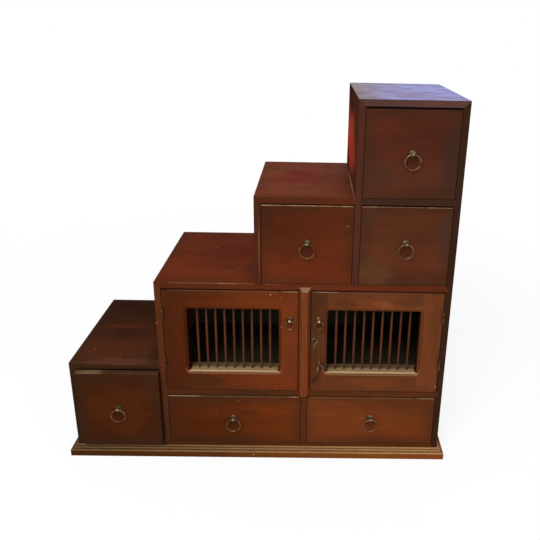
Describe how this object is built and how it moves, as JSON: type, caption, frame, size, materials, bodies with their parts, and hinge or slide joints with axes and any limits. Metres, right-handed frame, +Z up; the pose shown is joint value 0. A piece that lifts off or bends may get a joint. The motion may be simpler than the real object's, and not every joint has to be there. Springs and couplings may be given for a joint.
{
  "type": "step chest",
  "caption": "Stair-shaped chest of drawers with a spindle-grille cupboard, ring pulls and a moulded base.",
  "frame": {"origin": "middle of the moulded base's footprint, on the floor", "axes": "+X to the right of someone facing the drawers, towards the high end; +Y to the back; +Z up"},
  "size_m": [0.935, 0.3289, 0.904],
  "materials": {
    "case_wood": "red-brown stain, satin lacquer",
    "drawer_front_wood": "red-brown stain, satin lacquer, grain along the width",
    "door_wood": "red-brown stain, satin lacquer, worn edges",
    "moulding_wood": "red-brown stain, worn pale on its ridges",
    "plain_wood": "plain, unstained",
    "aged_brass": "dark, aged",
    "painted_hinge": "stained over with the case",
    "lock_steel": "dull",
    "key_brass": "dark, aged",
    "string": "twisted, greyed"
  },
  "bodies": {
    "case": {"step_1_side": "case_wood", "step_2_side": "case_wood", "step_3_side": "case_wood", "step_4_side": "case_wood", "right_side": "case_wood", "step_1_tread": "case_wood", "step_2_tread": "case_wood", "step_3_tread": "case_wood", "step_4_tread": "case_wood", "floor_board": "case_wood", "lower_shelf": "case_wood", "upper_shelf": "case_wood", "lower_divider": "case_wood", "back_panels": "plain_wood", "floor_bearers": "plain_wood", "base_front": "moulding_wood", "base_left": "moulding_wood", "base_right": "moulding_wood", "door_post": "case_wood", "door_stops": "plain_wood", "case_hinge_leaves": "painted_hinge"},
    "drawer_1": {"drawer_1_front": "drawer_front_wood", "drawer_1_box": "plain_wood", "drawer_1_pull": "aged_brass"},
    "drawer_1_ring": {"drawer_1_ring": "aged_brass"},
    "drawer_2": {"drawer_2_front": "drawer_front_wood", "drawer_2_box": "plain_wood", "drawer_2_pull": "aged_brass"},
    "drawer_2_ring": {"drawer_2_ring": "aged_brass"},
    "drawer_3": {"drawer_3_front": "drawer_front_wood", "drawer_3_box": "plain_wood", "drawer_3_pull": "aged_brass"},
    "drawer_3_ring": {"drawer_3_ring": "aged_brass"},
    "drawer_4": {"drawer_4_front": "drawer_front_wood", "drawer_4_box": "plain_wood", "drawer_4_pull": "aged_brass"},
    "drawer_4_ring": {"drawer_4_ring": "aged_brass"},
    "drawer_5": {"drawer_5_front": "drawer_front_wood", "drawer_5_box": "plain_wood", "drawer_5_pull": "aged_brass"},
    "drawer_5_ring": {"drawer_5_ring": "aged_brass"},
    "drawer_6": {"drawer_6_front": "drawer_front_wood", "drawer_6_box": "plain_wood", "drawer_6_pull": "aged_brass"},
    "drawer_6_ring": {"drawer_6_ring": "aged_brass"},
    "left_door": {"left_door_frame": "door_wood", "left_door_spindles": "door_wood", "left_door_pull": "aged_brass", "left_door_hinge_leaves": "painted_hinge"},
    "left_door_ring": {"left_door_ring": "aged_brass"},
    "right_door": {"right_door_frame": "door_wood", "right_door_spindles": "door_wood", "right_door_pull": "aged_brass", "right_door_hinge_leaves": "painted_hinge", "keyhole_plate": "aged_brass", "lock_case": "lock_steel"},
    "right_door_ring": {"right_door_ring": "aged_brass"},
    "lock_bolt": {"lock_bolt": "lock_steel"},
    "key_on_string": {"key_string": "string", "key": "key_brass"}
  },
  "joints": [
    {"name": "drawer_1_slide", "type": "slide", "parent": "case", "child": "drawer_1", "axis": [0, -1, 0], "range_m": [-0.013, 0.227]},
    {"name": "drawer_2_slide", "type": "slide", "parent": "case", "child": "drawer_2", "axis": [0, -1, 0], "range_m": [0, 0.24]},
    {"name": "drawer_3_slide", "type": "slide", "parent": "case", "child": "drawer_3", "axis": [0, -1, 0], "range_m": [0, 0.24]},
    {"name": "drawer_4_slide", "type": "slide", "parent": "case", "child": "drawer_4", "axis": [0, -1, 0], "range_m": [0, 0.24]},
    {"name": "drawer_5_slide", "type": "slide", "parent": "case", "child": "drawer_5", "axis": [0, -1, 0], "range_m": [0, 0.24]},
    {"name": "drawer_6_slide", "type": "slide", "parent": "case", "child": "drawer_6", "axis": [0, -1, 0], "range_m": [0, 0.24]},
    {"name": "drawer_1_ring_swing", "type": "hinge", "parent": "drawer_1", "child": "drawer_1_ring", "pos_m": [-0.3378, -0.1655, 0.1426], "axis": [-1, 0, 0], "range_deg": [0, 120]},
    {"name": "drawer_2_ring_swing", "type": "hinge", "parent": "drawer_2", "child": "drawer_2_ring", "pos_m": [-0.06075, -0.1525, 0.10705], "axis": [-1, 0, 0], "range_deg": [0, 120]},
    {"name": "drawer_3_ring_swing", "type": "hinge", "parent": "drawer_3", "child": "drawer_3_ring", "pos_m": [0.27935, -0.1525, 0.11135], "axis": [-1, 0, 0], "range_deg": [0, 120]},
    {"name": "drawer_4_ring_swing", "type": "hinge", "parent": "drawer_4", "child": "drawer_4_ring", "pos_m": [0.1146, -0.1525, 0.5795], "axis": [-1, 0, 0], "range_deg": [0, 120]},
    {"name": "drawer_5_ring_swing", "type": "hinge", "parent": "drawer_5", "child": "drawer_5_ring", "pos_m": [0.3369, -0.1525, 0.5823], "axis": [-1, 0, 0], "range_deg": [0, 120]},
    {"name": "drawer_6_ring_swing", "type": "hinge", "parent": "drawer_6", "child": "drawer_6_ring", "pos_m": [0.3375, -0.1525, 0.7894], "axis": [-1, 0, 0], "range_deg": [0, 120]},
    {"name": "left_door_swing", "type": "hinge", "parent": "case", "child": "left_door", "pos_m": [-0.21975, -0.1478, 0.3335], "axis": [0, 0, 1], "range_deg": [-135, 0]},
    {"name": "left_door_ring_swing", "type": "hinge", "parent": "left_door", "child": "left_door_ring", "pos_m": [0.0768, -0.1525, 0.385], "axis": [-1, 0, 0], "range_deg": [0, 120]},
    {"name": "right_door_swing", "type": "hinge", "parent": "case", "child": "right_door", "pos_m": [0.43675, -0.1478, 0.3335], "axis": [0, 0, 1], "range_deg": [0, 170]},
    {"name": "right_door_ring_swing", "type": "hinge", "parent": "right_door", "child": "right_door_ring", "pos_m": [0.1458, -0.1525, 0.385], "axis": [-1, 0, 0], "range_deg": [0, 120]},
    {"name": "lock_bolt_slide", "type": "slide", "parent": "right_door", "child": "lock_bolt", "axis": [-1, 0, 0], "range_m": [0, 0.009]},
    {"name": "key_hang", "type": "hinge", "parent": "right_door_ring", "child": "key_on_string", "pos_m": [0.1458, -0.1525, 0.3638], "axis": [-1, 0, 0], "range_deg": [-120, 0]}
  ],
  "couplings": [
    {"joint": "key_hang", "follows": "right_door_ring_swing", "ratio": -1}
  ]
}
